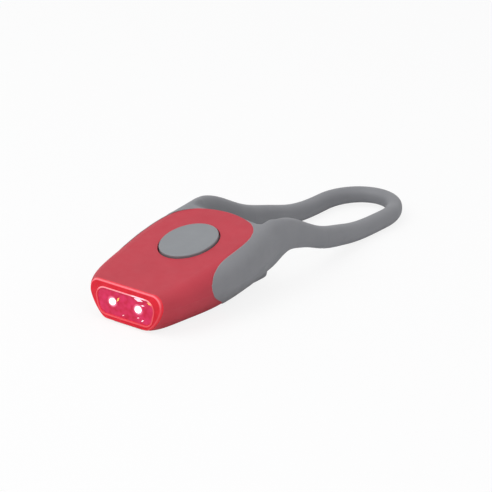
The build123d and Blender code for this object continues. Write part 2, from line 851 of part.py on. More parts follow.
pieces = {
    "upper_shell": upper_shell.part,
    "base_plate": base_plate.part,
    "lens": lens.part,
    "reflector": reflector.part,
    "led_left": lamps["left"],
    "led_right": lamps["right"],
    "led_leads": lamp_leads.part,
    "circuit_board": circuit_board.part,
    "switch_body": switch_body.part,
    "switch_plunger": switch_plunger.part,
    "controller_chip": controller_chip.part,
    "resistors": resistors.part,
    "capacitor": capacitor.part,
    "push_button": push_button.part,
    "cell_lower": cells["lower"],
    "cell_upper": cells["upper"],
    "battery_cradle": battery_cradle.part,
    "contact_clip": contact_clip.part,
    "contact_leaf": contact_leaf.part,
    "battery_cover": battery_cover.part,
    "cover_seal": cover_seal.part,
    "housing_screws": screws(
        housing_screw_places,
        screw_seat - seat_gap,
        housing_head_diameter,
        housing_head_depth,
        housing_screw_diameter,
        housing_screw_length,
    ),
    "board_screws": screws(
        board_screw_places,
        board_height,
        board_head_diameter,
        board_head_depth,
        board_screw_diameter,
        board_screw_length,
    ),
    "strap_jacket": strap_jacket.part,
    "strap_neck_left": necks["left"],
    "strap_neck_right": necks["right"],
    "strap_arm_left": arms["left"],
    "strap_arm_right": arms["right"],
    "strap_bend_left": bends["left"],
    "strap_bend_right": bends["right"],
    "strap_loop": strap_loop.part,
}
for name, piece in pieces.items():
    piece.label = name
    export_step(piece, f"parts/{name}.step")
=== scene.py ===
import math

import bmesh
import bpy
import numpy as np
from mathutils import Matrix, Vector


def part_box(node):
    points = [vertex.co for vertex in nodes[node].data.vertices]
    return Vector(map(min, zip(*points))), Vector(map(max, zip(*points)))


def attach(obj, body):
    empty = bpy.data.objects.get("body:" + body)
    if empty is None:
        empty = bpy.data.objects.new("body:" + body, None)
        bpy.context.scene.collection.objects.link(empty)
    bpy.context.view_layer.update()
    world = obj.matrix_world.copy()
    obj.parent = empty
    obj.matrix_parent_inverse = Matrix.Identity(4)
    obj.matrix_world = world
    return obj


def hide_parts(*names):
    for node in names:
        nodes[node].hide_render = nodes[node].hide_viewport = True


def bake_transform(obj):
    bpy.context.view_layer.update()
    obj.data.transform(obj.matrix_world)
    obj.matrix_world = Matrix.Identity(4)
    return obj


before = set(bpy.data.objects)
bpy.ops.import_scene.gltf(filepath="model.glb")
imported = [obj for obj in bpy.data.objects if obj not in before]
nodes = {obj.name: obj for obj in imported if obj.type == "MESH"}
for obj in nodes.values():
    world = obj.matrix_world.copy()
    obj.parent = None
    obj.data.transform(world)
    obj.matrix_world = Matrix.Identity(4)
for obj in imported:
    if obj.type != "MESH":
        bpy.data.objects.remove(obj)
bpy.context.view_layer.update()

# Lengths here are in millimetres, and a station is counted from the lens's front towards the strap.
# METRE turns them into the frame's metres.
METRE = 0.001
front_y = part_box("lens")[0].y / METRE

# Sizes that the solids share with the pieces made here
overall_length = 118.0
body_length = 47.2
body_width = 36.6
front_height = 11.5
top_tilt = 10.3
edge_radius = 4.4
bottom_radius = 2.8
underside_height = 0.6
heel_wall = 3.2
jacket_wall = 1.6
jacket_floor = 1.3
station_shares = (0.0, 0.06, 0.2, 0.38, 0.56, 0.74, 0.9, 1.0)
width_shares = (0.665, 0.77, 0.885, 0.956, 1.0, 0.984, 0.896, 0.806)
foot_shares = (0.752, 0.936, 1.036, 1.103, 1.103, 0.975, 0.925, 1.045)
shoulder_shares = (0.64, 0.64, 0.62, 0.58, 0.55, 0.55, 0.55, 0.55)
corner_shares = (0.68, 0.73, 0.86, 1.0, 1.0, 1.0, 1.0, 1.0)
flare_height_share = 0.51
flare_width_share = 0.6
flare_power = 1.5
heel_flare_power = 0.55
cover_radius = 10.95
cell_station = 21.0
cover_room = 2.6
strap_length = overall_length - body_length

# Jacket: edge of the red top from the middle of its rear to the lobe's nose as (x, station), how far
# out the far side's edge lies and at which stations, the lobe's front edge down to the underside as
# (station, z), the slanted cut under the heel, the cone behind the red top, and the hollow over the bar
# with the wall above it
red_rear = 44.8
red_edge = (
    (0, red_rear), (4.5, 44.4), (8.0, 43.5), (11.0, 41.6), (13.2, 39.0), (14.3, 36.0), (14.8, 32.0),
    (14.95, 28.0), (15.0, 24.5), (15.4, 21.4), (16.0, 19.2), (16.7, 17.3), (17.2, 16.4),
)
far_shift = 1.4
far_stations = (16.4, 24.0, 34.0, 41.0)
lobe_edge = ((16.25, 11.4), (16.3, 10.1), (16.95, 8.35), (19.0, 6.3), (22.9, 3.9), (28.9, -0.3))
heel_cut_start = 7.6
heel_cut_degrees = 35
heel_cut_stations = (35.0, 41.0)
heel_cut_fade = 4.0
heel_cut_edge = 0.5
relief_rim = 0.6
relief_radius = 65.0
saddle_radius = 15.0
saddle_depth = 1.1
saddle_station = 38.8
saddle_wall = 0.9

# Strap: place behind the body as a share of the strap's length, spread as a share of the arms' half
# spacing, and lower and upper edges as shares of the horns' height
half_spacing = 12.9
horn_height = 21.4
strap_half = 2.35
strap_shares = (
    (-0.117, 1.020, 0.300, 0.815),
    (-0.020, 1.050, 0.296, 0.902),
    (0.028, 1.072, 0.375, 0.920),
    (0.077, 1.078, 0.432, 0.892),
    (0.147, 1.060, 0.400, 0.803),
    (0.208, 1.040, 0.344, 0.698),
    (0.305, 1.033, 0.227, 0.544),
    (0.452, 0.954, 0.104, 0.400),
    (0.545, 0.895, 0.045, 0.320),
    (0.633, 0.865, 0.018, 0.275),
    (0.782, 0.857, 0.020, 0.262),
)
loop_tip_share = (0.045, 0.257)

# Joint between the strap's two pieces
strap_cut = 70.0

# Silicone: how far it stands proud, how round its edges are, the flanks beside the horns, the net of
# points that it is made from and the cutters that trim it
skin_rise = 0.06
blend_radius = 2.4
soft_edge = 1.0
foot_edge = 3.4
heel_edge = 1.4
relief_edge = 1.0
arm_squareness = 2.3
flank_reach = 4.0
flank_low = 7.0
flank_high = 12.0
flank_top = 18.0
flank_inner = 9.8
flank_outer = 11.0
net_step = 0.4
net_front = 15.2
probe_step = 0.02
least_slope = 0.2
least_arm_slope = 0.01
settle_first = 3
smooth_rounds = 3
settle_after = 2
cutter_reach = 40.0
lobe_points = 64
red_edge_points = 128
cover_points = 96


def place(x, station, z):
    """A point in the frame, in metres."""
    return Vector((x * METRE, (front_y + station) * METRE, z * METRE))


def smooth_curve(xs, ys):
    """Natural cubic spline through the points, straight beyond both ends."""
    xs = np.array(xs, float)
    ys = np.array(ys, float)
    gap = np.diff(xs)
    slope = np.diff(ys) / gap
    count = len(xs)
    matrix = np.eye(count)
    right = np.zeros(count)
    for i in range(1, count - 1):
        matrix[i, i - 1 : i + 2] = gap[i - 1], 2 * (gap[i - 1] + gap[i]), gap[i]
        right[i] = 6 * (slope[i] - slope[i - 1])
    bend = np.linalg.solve(matrix, right)

    def curve(x):
        x = np.asarray(x, float)
        inner = np.clip(x, xs[0], xs[-1])
        i = np.clip(np.searchsorted(xs, inner) - 1, 0, count - 2)
        a = xs[i + 1] - inner
        b = inner - xs[i]
        g = gap[i]
        value = (bend[i] * a**3 + bend[i + 1] * b**3) / (6 * g)
        value += (ys[i] / g - bend[i] * g / 6) * a + (ys[i + 1] / g - bend[i + 1] * g / 6) * b
        start = slope[0] - bend[1] * gap[0] / 6
        end = slope[-1] + bend[-2] * gap[-1] / 6
        before = np.where(x < xs[0], start * (x - xs[0]), 0)
        after = np.where(x > xs[-1], end * (x - xs[-1]), 0)
        return value + before + after

    return curve


body_stations = [share * body_length for share in station_shares]
half_width = smooth_curve(body_stations, [body_width / 2 * share for share in width_shares])
half_foot = smooth_curve(body_stations, [cover_radius * share for share in foot_shares])
shoulder_share = smooth_curve(body_stations, shoulder_shares)
corner_radius = smooth_curve(body_stations, [edge_radius * share for share in corner_shares])
strap_stations = [body_length + strap_length * row[0] for row in strap_shares]
arm_x = smooth_curve(strap_stations, [half_spacing * row[1] for row in strap_shares])
arm_low = smooth_curve(strap_stations, [horn_height * row[2] for row in strap_shares])
arm_high = smooth_curve(strap_stations, [horn_height * row[3] for row in strap_shares])


def top_height(station):
    """Height of the tilted top face at a station."""
    return front_height + station * math.tan(math.radians(top_tilt))


def smooth_min(a, b, size):
    """Lower of two fields, with a round fillet where they meet."""
    near = np.maximum(size - np.abs(a - b), 0) / size
    return np.minimum(a, b) - near**2 * size / 4


def smooth_max(a, b, size):
    """Higher of two fields, with a round edge where they meet."""
    return -smooth_min(-a, -b, size)


def ramp(value, start, end):
    """Smooth step from 0 at start to 1 at end."""
    t = np.clip((value - start) / (end - start), 0, 1)
    return t * t * (3 - 2 * t)


def body_field(x, station, z, grow, floor):
    """Signed distance, roughly, to the body's outside grown by a distance, above a floor."""
    inner = np.clip(station, 0, body_length + flank_reach)
    shape = np.clip(station, 0, body_length)
    half = np.minimum(half_width(inner), body_width / 2) + grow
    foot = half_foot(shape) + grow
    top = top_height(inner) + grow
    corner = corner_radius(shape)
    heel = floor + bottom_radius * (1 - math.cos(math.pi / 4))
    shoulder = floor + shoulder_share(shape) * (top - floor)
    rise = np.clip((z - heel) / (shoulder - heel), 0, 1)
    power = flare_power + (heel_flare_power - flare_power) * ramp(shape, saddle_station, body_length)
    wide = foot + (half - foot) * (1 - (1 - rise) ** power)
    side = np.abs(x) - (wide - corner)
    up = z - (top - corner)
    outside = np.hypot(np.maximum(side, 0), np.maximum(up, 0))
    around = outside + np.minimum(np.maximum(side, up), 0) - corner
    edge = foot_edge + (heel_edge - foot_edge) * ramp(shape, saddle_station, body_length)
    return smooth_max(around, floor - z, edge)


def arm_field(x, station, z):
    """Signed distance, roughly, to the two arms in front of the strap's cut."""
    along = np.maximum(station, strap_stations[0])
    low = arm_low(along)
    high = arm_high(along)
    tall = (high - low) / 2
    power = arm_squareness
    u = np.abs(np.abs(x) - arm_x(along)) / strap_half
    v = np.abs(z - (low + high) / 2) / tall
    size = (u**power + v**power) ** (1 / power)
    slope = np.hypot(u ** (power - 1) / strap_half, v ** (power - 1) / tall)
    away = (size - 1) * size ** (power - 1) / np.maximum(slope, least_arm_slope)
    return np.maximum(away, strap_stations[0] - station)


def relief_field(x, station, z):
    """The cone behind the red top, where the jacket falls away between the arms."""
    tilt = math.radians(top_tilt)
    centre = red_rear + relief_rim - relief_radius
    along = (station - centre) * math.cos(tilt) + (z - top_height(centre)) * math.sin(tilt)
    over = (z - top_height(centre)) * math.cos(tilt) - (station - centre) * math.sin(tilt)
    cone = (np.hypot(x, along) - relief_radius + over) / math.sqrt(2)
    return smooth_min(cone, half_spacing - np.abs(x), relief_edge)


def heel_cut(x, station, z):
    """Slanted cut that lifts the outer corners of the heel off the ground."""
    slope = math.radians(heel_cut_degrees)
    cut = (np.abs(x) - heel_cut_start) * math.sin(slope) - z * math.cos(slope)
    return cut - heel_cut_fade * (1 - ramp(station, *heel_cut_stations))


def jacket_field(x, station, z):
    """The silicone before the red top and the front are cut away from it."""
    body = body_field(x, station, z, skin_rise, 0.0)
    flank = ramp(np.abs(x), flank_inner, flank_outer) * ramp(z, flank_low, flank_high)
    flank = flank * (1 - ramp(z, flank_high, flank_top))
    body = smooth_max(body, station - body_length - flank_reach * flank, soft_edge)
    body = smooth_max(body, relief_field(x, station, z), relief_edge)
    skin = smooth_min(body, arm_field(x, station, z), blend_radius)
    saddle = saddle_radius - np.hypot(station - saddle_station, z - saddle_depth + saddle_radius)
    skin = smooth_max(skin, saddle, soft_edge)
    skin = smooth_max(skin, heel_cut(x, station, z), heel_cut_edge)
    skin = np.maximum(skin, -z)
    core = body_field(x, station, z, -jacket_wall, jacket_floor)
    core = np.maximum(core, station - (body_length - heel_wall))
    core = np.maximum(core, saddle + saddle_wall)
    skin = np.maximum(skin, -core)
    return np.maximum(skin, np.maximum(net_front - station, station - strap_cut - net_step * 2))


def settle(points, field, rounds):
    """Moves points onto the surface where a field is zero."""
    for _ in range(rounds):
        value = field(*points.T)
        slope = np.zeros_like(points)
        for axis in range(3):
            probe = np.zeros(3)
            probe[axis] = probe_step
            rise = field(*(points + probe).T) - field(*(points - probe).T)
            slope[:, axis] = rise / (2 * probe_step)
        size = np.maximum((slope**2).sum(1), least_slope)
        move = -slope * (value / size)[:, None]
        far = np.linalg.norm(move, axis=1, keepdims=True)
        points = points + move * np.minimum(1, net_step / 2 / np.maximum(far, 1e-9))
    return points


def surface_net(field, low, high, step):
    """Points and four-sided faces of the surface where a field is zero."""
    axes = [np.arange(a, b + step, step) for a, b in zip(low, high)]
    grid = np.stack(np.meshgrid(*axes, indexing="ij"), -1)
    value = field(grid[..., 0], grid[..., 1], grid[..., 2])
    inside = value < 0
    shape = np.array(inside.shape) - 1
    total = np.zeros(shape)
    crossing = np.zeros((*shape, 3))
    crossings = np.zeros(shape)

    def corner(array, offset):
        return array[tuple(slice(o, o + n) for o, n in zip(offset, shape))]

    offsets = [(i, j, k) for i in (0, 1) for j in (0, 1) for k in (0, 1)]
    for offset in offsets:
        total += corner(inside, offset)
        for axis in range(3):
            if offset[axis] == 0:
                other = tuple(o + (a == axis) for a, o in enumerate(offset))
                va = corner(value, offset)
                vb = corner(value, other)
                cross = corner(inside, offset) != corner(inside, other)
                part = np.where(cross, va / np.where(cross, va - vb, 1), 0)[..., None]
                pa = corner(grid, offset)
                pb = corner(grid, other)
                crossing += np.where(cross[..., None], pa + (pb - pa) * part, 0)
                crossings += cross
    active = (total > 0) & (total < len(offsets))
    index = np.full(shape, -1)
    index[active] = np.arange(active.sum())
    points = crossing[active] / crossings[active][:, None]
    faces = []
    for axis in range(3):
        u = (axis + 1) % 3
        v = (axis + 2) % 3
        first = np.take(inside, range(inside.shape[axis] - 1), axis)
        second = np.take(inside, range(1, inside.shape[axis]), axis)
        spots = np.argwhere(first != second)
        within_u = (spots[:, u] > 0) & (spots[:, u] < shape[u])
        within_v = (spots[:, v] > 0) & (spots[:, v] < shape[v])
        spots = spots[within_u & within_v]
        du = np.eye(3, dtype=int)[u]
        dv = np.eye(3, dtype=int)[v]
        corners = [index[tuple((spots - d).T)] for d in (0 * du, du, du + dv, dv)]
        quads = np.stack(corners, 1)
        outward = first[tuple(spots.T)]
        faces.append(np.where(outward[:, None], quads, quads[:, ::-1]))
    faces = np.concatenate(faces)
    edges = np.concatenate([faces[:, [a, (a + 1) % 4]] for a in range(4)])
    points = settle(points, field, settle_first)
    for _ in range(smooth_rounds):
        near = np.zeros_like(points)
        weight = np.zeros(len(points))
        for a, b in ((0, 1), (1, 0)):
            np.add.at(near, edges[:, a], points[edges[:, b]])
            np.add.at(weight, edges[:, a], 1)
        points = settle((points + near / weight[:, None]) / 2, field, settle_after)
    return points, faces


def add_piece(name, points, faces):
    """Mesh object from points in millimetres (x, station, z) and faces."""
    points = np.array(points, float).reshape(-1, 3)
    spots = (points + np.array((0, front_y, 0))) * METRE
    mesh = bpy.data.meshes.new(name)
    mesh.from_pydata(spots.tolist(), [], [list(map(int, face)) for face in faces])
    mesh.validate()
    piece = bpy.data.objects.new(name, mesh)
    bpy.context.scene.collection.objects.link(piece)
    return piece


def edit_mesh(piece, change):
    """Runs a change on a piece's mesh."""
    work = bmesh.new()
    work.from_mesh(piece.data)
    change(work)
    work.to_mesh(piece.data)
    work.free()


def turn_outward(work):
    """Consistent normals that point out of a closed mesh."""
    bmesh.ops.recalc_face_normals(work, faces=work.faces)


def turn_forward(work):
    """Consistent normals, out of a closed mesh and towards the front on an open one."""
    turn_outward(work)
    foremost = min(work.faces, key=lambda face: face.calc_center_median().y)
    if foremost.normal.y > 0:
        bmesh.ops.reverse_faces(work, faces=work.faces)


def shade(piece, sharp_degrees=40):
    """Smooth shading, with edges sharper than an angle kept crisp."""
    limit = math.radians(sharp_degrees)

    def smooth(work):
        for face in work.faces:
            face.smooth = True
        for edge in work.edges:
            edge.smooth = len(edge.link_faces) == 2 and edge.calc_face_angle(0) < limit

    edit_mesh(piece, smooth)


def bridge(loops, close_start=False, close_end=False):
    """Points and faces between closed loops of equal length, and over the first and last if asked."""
    count = len(loops[0])
    last = (len(loops) - 1) * count
    faces = []
    for base in range(0, last, count):
        for i in range(count):
            j = (i + 1) % count
            faces.append((base + i, base + j, base + count + j, base + count + i))
    if close_start:
        faces.append(list(range(count))[::-1])
    if close_end:
        faces.append([last + i for i in range(count)])
    return np.concatenate(loops), faces


def run_lengths(points):
    """Distance along a line at each of its points."""
    return np.concatenate([[0], np.cumsum(np.linalg.norm(np.diff(points, axis=0), axis=1))])


def smooth_line(points, count):
    """Points evenly spread along a smooth line through a few."""
    points = np.array(points, float)
    lengths = run_lengths(points)
    wanted = np.linspace(0, lengths[-1], count)
    return list(zip(*[smooth_curve(lengths, points[:, axis])(wanted).tolist() for axis in range(2)]))


def resample(points, count):
    """Evenly spaced points round a closed outline."""
    points = np.array(points + [points[0]], float)
    lengths = run_lengths(points)
    wanted = np.linspace(0, lengths[-1], count, endpoint=False)
    return np.stack([np.interp(wanted, lengths, points[:, axis]) for axis in range(2)], 1)


def arc_points(start, middle, end, count):
    """Points along the circle arc through three points, both ends included."""
    (ax, ay), (bx, by), (cx, cy) = start, middle, end
    d = 2 * (ax * (by - cy) + bx * (cy - ay) + cx * (ay - by))
    sa = ax**2 + ay**2
    sb = bx**2 + by**2
    sc = cx**2 + cy**2
    ux = (sa * (by - cy) + sb * (cy - ay) + sc * (ay - by)) / d
    uy = (sa * (cx - bx) + sb * (ax - cx) + sc * (bx - ax)) / d
    radius = math.hypot(ax - ux, ay - uy)
    angles = np.unwrap([math.atan2(y - uy, x - ux) for x, y in (start, middle, end)])
    turn = np.linspace(angles[0], angles[2], count)
    return [(ux + radius * math.cos(t), uy + radius * math.sin(t)) for t in turn]


def prism(name, outline, axis, low, high):
    """Closed prism, along z over (x, station) points or along x over (station, z) points."""
    ends = []
    for reach in (low, high):
        if axis == "z":
            ends.append(np.array([(x, y, reach) for x, y in outline]))
        else:
            ends.append(np.array([(reach, y, z) for y, z in outline]))
    piece = add_piece(name, *bridge(ends, close_start=True, close_end=True))
    edit_mesh(piece, turn_outward)
    return piece


def cut_away(piece, cutters):
    """Takes each cutter's volume out of a piece and removes the cutter."""
    for cutter in cutters:
        cut = piece.modifiers.new("cut", "BOOLEAN")
        cut.operation = "DIFFERENCE"
        cut.solver = "EXACT"
        cut.object = cutter
        bpy.context.view_layer.update()
        shaped = piece.evaluated_get(bpy.context.evaluated_depsgraph_get())
        result = bpy.data.meshes.new_from_object(shaped)
        piece.modifiers.clear()
        piece.data = result
        bpy.data.objects.remove(cutter)


# Noise: how fine it is, and the part of its range that is used
noise_detail = 3.0
noise_range = (0.3, 0.7)

# Finish of the moulded pieces: patches, uneven gloss, edges lighter from wear and a painted highlight,
# and grain, in millimetres
patch_size = 9.0
patch_dark = 0.93
gloss_patch = 3.0
gloss_range = 0.05
edge_bevel_radius = 0.2
edge_bevel_samples = 6
wear_and_highlight_turn = (0.985, 0.9)
grain_strength = 0.35
grain_detail = 2.0

# Finish of the metal pieces: patches and fine scratches
metal_patch = 1.5
metal_dark = 0.85
scratch_size = 0.3
scratch_range = 0.08

# Finish of the clear lens and of its window with slow ripples, with the painted glow of the lamps' light
# in both, and of what shines
lens_glow = 0.3
lens_patch = 2.5
lens_gloss_patch = 0.8
lens_gloss = (0.1, 0.2)
lens_coat = 0.15
lens_specular = 0.2
window_patch = 1.6
window_gloss_patch = 0.6
window_gloss = (0.08, 0.2)
window_specular = 0.25
ripple_size = 1.2
ripple_detail = 1.0
ripple_strength = 0.3
ripple_depth = 0.1
lit_patch = 0.5
lit_dark = 0.9


def srgb(red, green, blue):
    """Linear colour of a colour given in 0 to 255 steps."""

    def linear(value):
        value = value / 255
        return value / 12.92 if value <= 0.04045 else ((value + 0.055) / 1.055) ** 2.4

    return (linear(red), linear(green), linear(blue), 1.0)


def darker(colour, share):
    """A share of a colour's brightness."""
    return tuple(c * share for c in colour[:3]) + (1.0,)


def new_material(name):
    """Node material with its principled shader."""
    material = bpy.data.materials.new(name)
    material.use_nodes = True
    return material, material.node_tree, material.node_tree.nodes["Principled BSDF"]


def noise(tree, size, detail=noise_detail):
    """Noise texture whose features are about a size in millimetres."""
    where = tree.nodes.new("ShaderNodeTexCoord")
    texture = tree.nodes.new("ShaderNodeTexNoise")
    texture.inputs["Scale"].default_value = 1 / (size * METRE)
    texture.inputs["Detail"].default_value = detail
    tree.links.new(where.outputs["Object"], texture.inputs["Vector"])
    return texture.outputs["Fac"]


def map_range(tree, value, before, after=(0.0, 1.0)):
    """Maps a socket from one range to another, and keeps it there."""
    scale = tree.nodes.new("ShaderNodeMapRange")
    scale.inputs["From Min"].default_value = before[0]
    scale.inputs["From Max"].default_value = before[1]
    scale.inputs["To Min"].default_value = after[0]
    scale.inputs["To Max"].default_value = after[1]
    tree.links.new(value, scale.inputs["Value"])
    return scale.outputs["Result"]


def spread(tree, value, low, high):
    """Maps a noise value to a range."""
    return map_range(tree, value, noise_range, (low, high))


def mix_colour(tree, factor, first, second):
    """Mixes two colours, each a colour or a socket, by a factor socket."""
    mix = tree.nodes.new("ShaderNodeMix")
    mix.data_type = "RGBA"
    tree.links.new(factor, mix.inputs["Factor"])
    for socket, value in ((mix.inputs["A"], first), (mix.inputs["B"], second)):
        if isinstance(value, tuple):
            socket.default_value = value
        else:
            tree.links.new(value, socket)
    return mix.outputs["Result"]


def patches(tree, size, first, second, detail=noise_detail):
    """Faint patches of two colours."""
    return mix_colour(tree, spread(tree, noise(tree, size, detail), 0, 1), first, second)


def uneven_gloss(tree, shader, size, low, high):
    """Roughness that wanders between two values."""
    tree.links.new(spread(tree, noise(tree, size), low, high), shader.inputs["Roughness"])


def bump(tree, shader, height, strength, depth):
    """Relief from a height socket, and its node."""
    relief = tree.nodes.new("ShaderNodeBump")
    relief.inputs["Strength"].default_value = strength
    relief.inputs["Distance"].default_value = depth * METRE
    tree.links.new(height, relief.inputs["Height"])
    tree.links.new(relief.outputs["Normal"], shader.inputs["Normal"])
    return relief


def calculate(tree, operation, first, second):
    """Math node of a socket with a socket or a number, its result kept from 0 to 1."""
    node = tree.nodes.new("ShaderNodeMath")
    node.operation = operation
    node.use_clamp = True
    tree.links.new(first, node.inputs[0])
    if isinstance(second, float):
        node.inputs[1].default_value = second
    else:
        tree.links.new(second, node.inputs[1])
    return node.outputs[0]


def mix_shaders(tree, factor, first, second, output):
    """Shows the first or the second shader node by a factor socket."""
    mix = tree.nodes.new("ShaderNodeMixShader")
    tree.links.new(factor, mix.inputs["Fac"])
    tree.links.new(first.outputs[0], mix.inputs[1])
    tree.links.new(second.outputs[0], mix.inputs[2])
    tree.links.new(mix.outputs[0], tree.nodes[output].inputs["Surface"])


def edge_wear_and_highlight(tree):
    """Rounded normal near the edges, and how much an edge shows wear and a painted highlight."""
    geometry = tree.nodes.new("ShaderNodeNewGeometry")
    rounding = tree.nodes.new("ShaderNodeBevel")
    rounding.samples = edge_bevel_samples
    rounding.inputs["Radius"].default_value = edge_bevel_radius * METRE
    turned = tree.nodes.new("ShaderNodeVectorMath")
    turned.operation = "DOT_PRODUCT"
    tree.links.new(rounding.outputs["Normal"], turned.inputs[0])
    tree.links.new(geometry.outputs["Normal"], turned.inputs[1])
    wear_and_highlight = map_range(tree, turned.outputs["Value"], wear_and_highlight_turn)
    return rounding.outputs["Normal"], wear_and_highlight


def moulded(name, colour, worn_and_highlight_colour, roughness, grain, depth, specular=0.5):
    """Moulded plastic or rubber: grain, uneven gloss, faint patches, and edges lighter from wear and a
    painted highlight.
    """
    material, tree, shader = new_material(name)
    tone = patches(tree, patch_size, darker(colour, patch_dark), colour)
    normal, wear_and_highlight = edge_wear_and_highlight(tree)
    # Edges lighter, partly from wear and partly as a painted highlight
    tree.links.new(mix_colour(tree, wear_and_highlight, tone, worn_and_highlight_colour), shader.inputs["Base Color"])
    uneven_gloss(tree, shader, gloss_patch, roughness - gloss_range, roughness + gloss_range)
    relief = bump(tree, shader, noise(tree, grain, grain_detail), grain_strength, depth)
    tree.links.new(normal, relief.inputs["Normal"])
    shader.inputs["Specular IOR Level"].default_value = specular
    return material


def metal(name, colour, roughness):
    """Plated metal with fine scratches."""
    material, tree, shader = new_material(name)
    shader.inputs["Metallic"].default_value = 1.0
    tone = patches(tree, metal_patch, darker(colour, metal_dark), colour)
    tree.links.new(tone, shader.inputs["Base Color"])
    uneven_gloss(tree, shader, scratch_size, roughness - scratch_range, roughness + scratch_range)
    return material


def glow_with(tree, shader, colour, strength):
    """Shows a colour socket lit, and as a faint or strong light of its own."""
    tree.links.new(colour, shader.inputs["Base Color"])
    tree.links.new(colour, shader.inputs["Emission Color"])
    shader.inputs["Emission Strength"].default_value = strength


def lit_material(name, colour, strength):
    """Light that shines out, with a faint unevenness."""
    material, tree, shader = new_material(name)
    glow_with(tree, shader, patches(tree, lit_patch, darker(colour, lit_dark), colour), strength)
    return material


def read_mark(tree):
    """The number that set_marks stored with each point: how much painted light it shows."""
    node = tree.nodes.new("ShaderNodeAttribute")
    node.attribute_name = "mark"
    return node.outputs["Fac"]


def clear_red_lens():
    """Clear red plastic with painted highlights: a mark up to 1 makes it pale, and a mark above 1 paler
    still, for a painted reflection of the room's window.
    """
    material, tree, shader = new_material("red_lens")
    mark = read_mark(tree)
    deep = patches(tree, lens_patch, srgb(192, 12, 34), srgb(208, 22, 44))
    # Painted highlight on the lens's edge and bead, and above it the painted reflection of the room's
    # window
    pale = mix_colour(tree, mark, deep, srgb(240, 112, 124))
    shine = mix_colour(tree, calculate(tree, "SUBTRACT", mark, 1.0), pale, srgb(255, 214, 224))
    glow_with(tree, shader, shine, lens_glow)
    uneven_gloss(tree, shader, lens_gloss_patch, *lens_gloss)
    shader.inputs["Coat Weight"].default_value = lens_coat
    shader.inputs["Specular IOR Level"].default_value = lens_specular
    return material


def magenta_window():
    """Lens window with slow ripples, paler with a painted glow round the lamps, where its mark is high.
    """
    material, tree, shader = new_material("lens_window")
    veil = patches(tree, window_patch, srgb(186, 24, 60), srgb(204, 42, 90), ripple_detail)
    lit = mix_colour(tree, read_mark(tree), veil, srgb(246, 150, 178))
    glow_with(tree, shader, lit, lens_glow)
    uneven_gloss(tree, shader, window_gloss_patch, *window_gloss)
    bump(tree, shader, noise(tree, ripple_size, ripple_detail), ripple_strength, ripple_depth)
    shader.inputs["Specular IOR Level"].default_value = window_specular
    return material


# Materials. Moulded: colour, edge colour from wear and a painted highlight, roughness, then size and
# depth of the grain in millimetres and specular level. Metal: colour and roughness. Lit: colour and
# strength
red_matte = moulded("red_soft_touch", srgb(186, 56, 70), srgb(196, 84, 94), 0.6, 0.16, 0.03, 0.35)
silicone = moulded("grey_silicone", srgb(130, 131, 135), srgb(170, 172, 175), 0.55, 0.2, 0.03, 0.4)
button_grey = moulded("grey_button", srgb(131, 134, 138), srgb(150, 152, 155), 0.5, 0.12, 0.02)
black_plastic = moulded("black_plastic", srgb(38, 38, 40), srgb(70, 70, 72), 0.45, 0.15, 0.03)
board_green = moulded("board_laminate", srgb(24, 74, 44), srgb(60, 110, 80), 0.4, 0.4, 0.01)
steel = metal("cell_steel", srgb(196, 196, 198), 0.28)
brass = metal("contact_brass", srgb(206, 172, 96), 0.3)
screw_metal = metal("screw_steel", srgb(176, 176, 180), 0.3)
clear_red = clear_red_lens()
magenta = magenta_window()
lamp_white = lit_material("lamp_epoxy", srgb(255, 250, 252), 1.3)
glint_white = lit_material("glint_white", srgb(250, 214, 226), 0.45)
glint_warm = lit_material("glint_warm", srgb(244, 186, 92), 0.5)


def dress(material, *names):
    """Gives CAD nodes a material."""
    for name in names:
        nodes[name].data.materials.clear()
        nodes[name].data.materials.append(material)


dress(red_matte, "upper_shell", "base_plate")
dress(button_grey, "push_button")
dress(black_plastic, "battery_cover", "cover_seal", "battery_cradle", "switch_body", "switch_plunger")
dress(black_plastic, "controller_chip", "resistors")
dress(board_green, "circuit_board")
dress(steel, "cell_lower", "cell_upper", "capacitor", "led_leads", "reflector")
dress(brass, "contact_clip", "contact_leaf")
dress(screw_metal, "housing_screws", "board_screws")
dress(lamp_white, "led_left", "led_right")

# Silicone jacket with the necks and the front of the arms: the room left round it in its net
margin = 1.0
net_points, net_faces = surface_net(
    jacket_field,
    (-body_width / 2 - margin, net_front - margin, -margin),
    (body_width / 2 + margin, strap_cut + 2 * margin, horn_height + margin),
    net_step,
)
jacket = add_piece("jacket_and_arms", net_points, net_faces)


def front_outline():
    """What is cut off in front of the lobes, as (station, z)."""
    outline = [(lobe_edge[0][0], cutter_reach)]
    outline += smooth_line(lobe_edge, lobe_points)
    outline += [(lobe_edge[-1][0], -cutter_reach), (-cutter_reach, -cutter_reach)]
    return outline + [(-cutter_reach, cutter_reach)]


def far_edge(x, station):
    """Point of the far side's red edge, across from a point of the near side's."""
    start, full, fading, end = far_stations
    out = far_shift * float(ramp(station, start, full) * (1 - ramp(station, fading, end)))
    return (-x - out, station)


def top_outline():
    """What is cut away for the red top, as (x, station)."""
    over_middle = [(-x, station) for x, station in red_edge[3:0:-1]]
    whole_line = smooth_line(over_middle + list(red_edge), red_edge_points)
    near_line = [point for point in whole_line if point[0] >= 0]
    far_line = [far_edge(*point) for point in near_line]
    nose = red_edge[-1][1]
    front = [(body_width, nose), (body_width, 0), (-body_width, 0), (-body_width, nose)]
    return far_line[:0:-1] + near_line + front


def cover_outline():
    """Round opening over the battery cover, as (x, station)."""
    radius = cover_radius + jacket_wall
    turns = np.linspace(0, 2 * math.pi, cover_points, endpoint=False)
    return [(radius * math.cos(turn), cell_station + radius * math.sin(turn)) for turn in turns]


